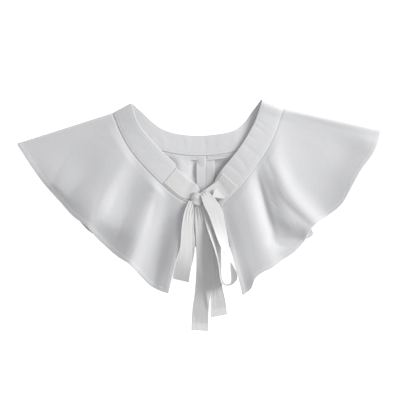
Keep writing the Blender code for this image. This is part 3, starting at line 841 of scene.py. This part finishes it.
# The allowance of the neck seam, which shows inside the back as a narrow strip below the band.
NECK_ALLOWANCE_PLACES = (10.6, 15.4)
NECK_ALLOWANCE_WIDTH = 6.2
NECK_ALLOWANCE_HIDDEN = 4.2
NECK_ALLOWANCE_DROP = 0.9
NECK_ALLOWANCE_ROWS = 90
NECK_ALLOWANCE_LINES = 11
NECK_ALLOWANCE_LAYERS = 0.8
RIPPLE = 0.12
RIPPLE_LENGTH = 5.0
places = np.linspace(*NECK_ALLOWANCE_PLACES, NECK_ALLOWANCE_ROWS)
on_seam = spline_at(neck_seam, places)
outwards = unit((on_seam - spline_at(neck_top, places))[:, :2])
share = np.linspace(-NECK_ALLOWANCE_HIDDEN / NECK_ALLOWANCE_WIDTH, 1, NECK_ALLOWANCE_LINES)
middle = np.repeat(on_seam[:, None], len(share), axis=1)
middle[..., :2] += outwards[:, None] * (share * NECK_ALLOWANCE_WIDTH)[:, None]
ripple = RIPPLE * np.sin(middle[..., 0] / RIPPLE_LENGTH) * share
middle[..., 2] -= NECK_ALLOWANCE_DROP + ripple
neck_allowance = cloth_wall(
    "neck_allowance",
    cape_cotton,
    middle,
    ALLOWANCE_WALL,
    strip_cut(middle),
    NECK_ALLOWANCE_LAYERS,
)
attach(neck_allowance, "root")

# The ties: one woven ribbon on each end of the band, box-stitched to it, then gathered into the
# knot. Its warp makes fine lengthwise crinkles, and its edges are firm.
RIBBON_WALL = 0.45
RIBBON_WIDTH = 21.0
RIBBON_STEPS = 12
RIBBON_LINES = 29
RIBBON_COTTON = (0.775, 0.775, 0.767)
PLEATS = 2.5
PLEAT_SHARE = 0.08
PLEAT_WANDER = 0.05
WANDER_LENGTH = 17.0
PLEAT_LENGTH = 23.0
DEEPEST_PLEAT = 1.5
GATHER_SHARE = 0.6
GATHER_WIDTH = 13.0
GATHER_FADE = 3.0
CRINKLE_DEPTH = 0.06
CRINKLES = 11
CRINKLE_LENGTH = 11.0
PATCH_LENGTH = 9.0
PATCHINESS = 0.45
FIRM_EDGE = 0.18
FIRM_WIDTH = 0.5
FIRM_FADE = 0.7
HEM_LAYER = 0.35
RibbonSection = namedtuple("RibbonSection", "name x y z width aim roll")


def ribbon_edges(row):
    """The two ends of the line across a ribbon section.

    aim turns it from +X towards +Y, and roll lifts its far end, both in degrees.
    """
    aim, roll = np.radians(row.aim), np.radians(row.roll)
    line = np.array([np.cos(aim) * np.cos(roll), np.sin(aim) * np.cos(roll), np.sin(roll)])
    middle = np.array([row.x, row.y, row.z])
    return middle - line * row.width / 2, middle + line * row.width / 2


def ribbon_surface(pairs, phase, fullness=1.0):
    """A ribbon's middle surface through pairs of edge points.

    Where the section is narrower than the ribbon, the spare width stands in lengthwise pleats:
    a sine whose slope takes up that width. fullness is how much of them is left after
    pressing. Fine crinkles run along it everywhere.
    """
    edges = np.array(pairs)
    share = np.linspace(0, 1, RIBBON_LINES)[:, None]
    grid = edges[:, :1] * (1 - share) + edges[:, 1:] * share
    points = spline_at(grid, stations(len(edges), RIBBON_STEPS))
    width = np.linalg.norm(points[:, -1] - points[:, 0], axis=-1)[:, None]
    spare = np.sqrt(np.clip(RIBBON_WIDTH / width - 1, 0.003, 2))
    along = run_lengths(points, 0).mean(axis=1)[:, None]
    wander = np.sin(2 * np.pi * share[:, 0] + along / WANDER_LENGTH + phase)
    across = share[:, 0] + PLEAT_WANDER * wander
    gathered = PLEAT_SHARE + GATHER_SHARE * soft_step((GATHER_WIDTH - width) / GATHER_FADE)
    depth = np.minimum(spare * width / (np.pi * PLEATS), DEEPEST_PLEAT) * gathered
    lean = phase + np.sin(along / PLEAT_LENGTH + phase)
    pleat = fullness * depth * np.sin(2 * np.pi * PLEATS * across + lean)
    crinkle_lean = 2 * np.sin(along / CRINKLE_LENGTH + phase)
    crinkle = np.sin(2 * np.pi * CRINKLES * across + crinkle_lean)
    patchy = 1 - PATCHINESS + PATCHINESS * np.sin(along / PATCH_LENGTH + across * 7 + phase)
    shift = pleat + CRINKLE_DEPTH * crinkle * patchy
    points = points + normals_of(points) * shift[..., None]
    points[..., 2] = np.maximum(points[..., 2], (RIBBON_WALL + HEM_LAYER) / 2)
    return points


def ribbon_piece(name, node, middle, stitches=(), hem=0, share=1.0):
    """The ribbon's wall, doubled over the length of its hem, with its material, attached to the root
    body.

    share is how much of the ribbon's width times its length the piece takes. It is not used.
    """
    cut = strip_cut(middle)
    across, along = cut[..., 0], cut[..., 1]
    from_side = np.minimum(across, across[:, -1:] - across)
    firm = 1 - soft_step((from_side - FIRM_WIDTH) / FIRM_FADE)
    hemmed = soft_step((hem - (along[-1:] - along)) / HEM_STEP) if hem else 0.0
    wall = RIBBON_WALL + FIRM_EDGE * firm + HEM_LAYER * hemmed
    layers = 0.4 + 0.3 * firm + 1.3 * hemmed
    piece = cloth_wall(name, ribbon_cotton, middle, wall, cut, layers)
    for part in (piece, *stitches):
        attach(part, "root")
    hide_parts(node)
    length = along[-1].mean() * MM
    RIBBON_WIDTH * MM * length * share


LINE_POINTS = 60
FINE_PITCH = 2.2
FINE_LENGTH = 1.7


def stitched_line(middle, corners, name, wall):
    """Stitches on a ribbon's upper face along straight lines between corners.

    A corner is a place on the ribbon: the share of its length, then of its width.
    """
    normals = normals_of(middle)
    normals = normals * np.sign(normals[..., 2:])
    raised = middle + normals * wall / 2
    corners = np.array(corners) * (np.array(middle.shape[:2]) - 1)
    way = np.linspace(0, 1, LINE_POINTS)[:, None]
    runs = []
    for start, end in zip(corners[:-1], corners[1:]):
        places = (start + (end - start) * way).T
        line, ups = read_grid(raised, *places), read_grid(normals, *places)
        runs.append(stitch_run(line, ups, FINE_PITCH, FINE_LENGTH))
    return thread_stitches(name, runs)


# The ribbon's crinkles carry painted shade in their grooves and painted highlight on their ridges.
ribbon_cotton = cotton(
    "ribbon_cotton",
    RIBBON_COTTON,
    thread_gap=0.5,
    crumple_depth=0.12,
    roughness=0.7,
    warp_crinkles_and_shade=0.2,
)
TIE_TO_BAND = 0.12
LEAD_LIFT = BAND_WALL / 2 + TIE_TO_BAND + RIBBON_WALL / 2
LEAD_LEFT_END = named_rows(RibbonSection, [
    ("at the knot", -6.6, 29.6, 9.2, 20.5, 76, -6),
    ("under the knot", -0.6, 26.0, 8.6, 13.0, 80, -2),
])
LEAD_RIGHT_END = named_rows(RibbonSection, [
    ("at the knot", 7.0, 23.0, 11.0, 13.5, 118, 2),
])
BOX = [(0.04, 0.1), (0.04, 0.9), (0.42, 0.9), (0.42, 0.1), (0.04, 0.1), (0.42, 0.9)]
# places counts sections of NECK, from the tie's stitched end towards the knot, and TIE_EDGES
# are the shares of the band's width that the tie lies between.
TIE_EDGES = (0.08, 0.9)
for name, node, places, ends, phase in (
    ("tie_left", "tie_lead_left", (1.85, 1.45, 1.05, 0.65), LEAD_LEFT_END, 0.4),
    ("tie_right", "tie_lead_right", (26.05, 26.3, 26.55), LEAD_RIGHT_END, 1.9),
):
    on_band = band_surface(places, TIE_EDGES)
    along = np.gradient(on_band, axis=0)
    over = np.broadcast_to((on_band[:, 1] - on_band[:, 0])[:, None], along.shape)
    normal = unit(np.cross(along, over))
    pairs = on_band + normal * np.sign(normal[..., 2:]) * LEAD_LIFT
    middle = ribbon_surface([*pairs, *(ribbon_edges(end) for end in ends)], phase)
    box_stitch = stitched_line(middle, BOX, name + "_box_stitch", RIBBON_WALL)
    ribbon_piece(name, node, middle, [box_stitch])

# A corner of the right tie folds over at the knot and lies on it as a small triangle.
TIE_CORNER = named_rows(RibbonSection, [
    ("point", 21.5, 34.0, 13.0, 1.4, -7, 0),
    ("middle", 23.2, 27.6, 13.8, 9.0, -7, -13),
    ("fold", 25.0, 21.4, 13.6, 17.4, -7, -15),
    ("under the fold", 24.8, 21.0, 12.8, 17.0, -7, -15),
])
middle = ribbon_surface([ribbon_edges(row) for row in TIE_CORNER], 0.2, 0.0)
ribbon_piece("tie_corner", "tie_lead_right", middle, share=0.5)

# The loops and tails of the bow: the same ribbon, doubled back in two loops and hanging in two
# tails with narrow stitched ends. The left loop lies flat, and the right one stands on edge.
LOOP_LEFT = named_rows(RibbonSection, [
    ("at the knot", -9.4, 17.0, 13.8, 7.0, -14, 0),
    ("gathered", -14.0, 3.0, 14.6, 9.4, -6, -8),
    ("opening out", -15.9, -17.5, 14.4, 13.4, -3, -14),
    ("over the front edge", -16.4, -35.5, 13.8, 15.1, -4, -15),
    ("front strand", -17.5, -53.5, 12.6, 17.7, -8, -12),
    ("coming down", -20.6, -69.0, 10.0, 20.0, -12, -3),
    ("above the fold", -22.9, -81.0, 6.2, 21.0, -12, 0),
    ("folded end", -23.4, -85.4, 3.9, 21.0, -12, 0),
    ("below the fold", -22.9, -81.6, 2.1, 21.0, -12, 0),
    ("back strand", -20.0, -67.0, 3.4, 20.0, -12, 0),
    ("rising", -15.5, -51.5, 7.6, 18.0, -8, -3),
    ("under the front strand", -12.7, -35.5, 10.6, 15.0, -4, -4),
    ("under the gathers", -12.3, -17.5, 11.2, 11.8, -3, -4),
    ("back at the knot", -8.0, 14.0, 11.2, 7.0, -10, 0),
])
LOOP_RIGHT = named_rows(RibbonSection, [
    ("behind the knot", 3.8, 30.0, 12.0, 9.0, 40, 0),
    ("over the knot", 7.4, 26.0, 16.6, 11.0, 34, -6),
    ("below the curl", 14.2, 15.4, 15.8, 17.5, 18, -10),
    ("lying open", 20.8, 3.0, 14.8, 18.8, 11, -11),
    ("turning", 26.2, -16.0, 14.2, 16.6, 6, -19),
    ("leaning", 31.0, -33.5, 13.9, 17.4, 0, -40),
    ("on the front edge", 37.0, -52.5, 13.9, 21.0, -5, -72),
    ("on edge", 42.6, -66.5, 13.8, 21.0, -10, -101),
    ("bottom right", 45.0, -79.5, 13.4, 21.0, -14, -112),
    ("bottom turn", 42.8, -87.6, 12.9, 21.0, -20, -98),
    ("bottom", 37.0, -90.8, 12.9, 21.0, -10, -90),
    ("bottom left", 30.6, -88.3, 12.9, 21.0, 0, -84),
    ("far side", 28.1, -80.0, 13.0, 21.0, 0, -84),
    ("far side rising", 26.9, -64.5, 13.2, 21.0, 0, -80),
    ("leaning back", 24.3, -46.0, 13.2, 19.5, 0, -66),
    ("turning flat", 20.2, -28.0, 12.4, 16.0, 4, -40),
    ("under the strand", 14.0, -9.0, 12.0, 12.0, 8, -12),
    ("back at the knot", 5.8, 14.0, 12.0, 6.0, 12, -4),
])
TAIL_LEFT = named_rows(RibbonSection, [
    ("at the knot", -0.8, 13.0, 12.4, 7.5, 0, 0),
    ("gathered", 1.6, -10.0, 10.8, 13.0, 0, -3),
    ("opening out", 4.8, -29.0, 9.4, 18.0, 0, -6),
    ("over the back hem", 7.0, -46.5, 8.0, 20.5, 0, -7),
    ("crossing the other tail", 7.4, -66.0, 5.8, 21.0, 0, -7),
    ("beside the other tail", 6.3, -85.0, 3.2, 20.5, -2, 0),
    ("turned", 4.6, -104.0, 2.4, 20.2, -3, 6),
    ("lying", 2.4, -121.5, 2.2, 20.7, -2, 7),
    ("above its hem", 1.4, -140.6, 0.9, 21.0, -2, 4),
    ("end", 1.3, -150.0, 2.6, 21.0, -4, 0),
])
TAIL_RIGHT = named_rows(RibbonSection, [
    ("at the knot", 0.8, 17.6, 8.8, 8.0, 0, 0),
    ("gathered", 11.6, -10.0, 6.2, 9.0, 0, 0),
    ("under the loop", 16.6, -29.0, 4.4, 10.0, 0, 0),
    ("over the back hem", 20.4, -46.5, 3.4, 10.5, 0, 4),
    ("in the shadow", 21.4, -70.0, 1.9, 11.0, 0, 6),
    ("opening out", 22.6, -92.0, 1.6, 14.4, 2, 6),
    ("lying", 24.6, -111.0, 1.3, 19.0, 5, 4),
    ("above its hem", 25.3, -122.3, 1.0, 20.5, 8, 2),
    ("end", 26.2, -131.0, 2.3, 21.0, 10, 0),
])
TAIL_CREASES = named_rows(Crease, [
    ("twist", (7.5, -86), (9.4, -104), (12.0, -120), (5, 2.2), (1.0, 2.0, 1.0)),
    ("second twist", (1.5, -60), (3.0, -78), (5.5, -92), (4, 3), (0.5, 1.0, 0.5)),
])
TAIL_HEM = 8.5
TAIL_HEM_ROWS = (7.3, 1.6)
for name, node, sections, phase, fullness, creases, rests_on, hem in (
    ("loop_left", "bow_loop_left", LOOP_LEFT, 0.9, 0.3, (), ["cape_front_left"], 0),
    ("loop_right", "bow_loop_right", LOOP_RIGHT, 2.3, 0.3, (), ["cape_front_right"], 0),
    ("tail_left", "bow_tail_left", TAIL_LEFT, 1.4, 0.8, TAIL_CREASES, ["table"], TAIL_HEM),
    ("tail_right", "bow_tail_right", TAIL_RIGHT, 3.1, 1.0, (), ["table"], TAIL_HEM),
):
    middle = ribbon_surface([ribbon_edges(row) for row in sections], phase, fullness)
    middle[..., 2] += crease_heights(middle, creases)
    stitches = []
    if hem:
        length = run_lengths(middle, 0)[-1].mean()
        for number, from_end in enumerate(TAIL_HEM_ROWS):
            corners = [(1 - from_end / length, 0.06), (1 - from_end / length, 0.94)]
            row_name = f"{name}_hem_{number}"
            stitches.append(stitched_line(middle, corners, row_name, RIBBON_WALL + HEM_LAYER))
    ribbon_piece(name, node, middle, stitches, hem)

# The knot of the bow: one tie wound round the gathered ribbons, so a short pleated sleeve of
# ribbon, pulled tight and tilted.
KNOT_CENTRE = np.array([-2.2, 20.2, 12.2])
KNOT_REACH = 7.6
KNOT_RISE = 3.2
KNOT_WIDTH = 15.5
KNOT_TILT = np.radians(-14)
KNOT_POINTS = 96
KNOT_LINES = 41
KNOT_NARROWING = 0.22
KNOT_PLEATS = 2
KNOT_PLEAT_DEPTH = 0.16
KNOT_CRINKLES = 7
KNOT_CRINKLE_DEPTH = 0.05
KNOT_LAYERS = 0.6
turn = np.arange(KNOT_POINTS) * 2 * np.pi / KNOT_POINTS
across = np.linspace(-0.5, 0.5, KNOT_LINES)
waist = 1 - KNOT_NARROWING * (2 * across) ** 2
pleats = KNOT_PLEAT_DEPTH * np.sin(2 * np.pi * KNOT_PLEATS * across + 0.8)
pleats += KNOT_CRINKLE_DEPTH * np.sin(2 * np.pi * KNOT_CRINKLES * across)
round_x = (KNOT_REACH * waist + pleats) * np.cos(turn)[:, None]
round_z = (KNOT_RISE * waist + pleats) * np.sin(turn)[:, None]
along_y = np.broadcast_to(across * KNOT_WIDTH, round_x.shape)
sleeve = np.stack(
    [
        round_x * np.cos(KNOT_TILT) - along_y * np.sin(KNOT_TILT),
        round_x * np.sin(KNOT_TILT) + along_y * np.cos(KNOT_TILT),
        round_z,
    ],
    axis=-1,
) + KNOT_CENTRE
sleeve = np.concatenate([sleeve, sleeve[:1]])
knot = cloth_wall("knot", ribbon_cotton, sleeve, RIBBON_WALL, strip_cut(sleeve), KNOT_LAYERS)
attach(knot, "root")
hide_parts("bow_knot")
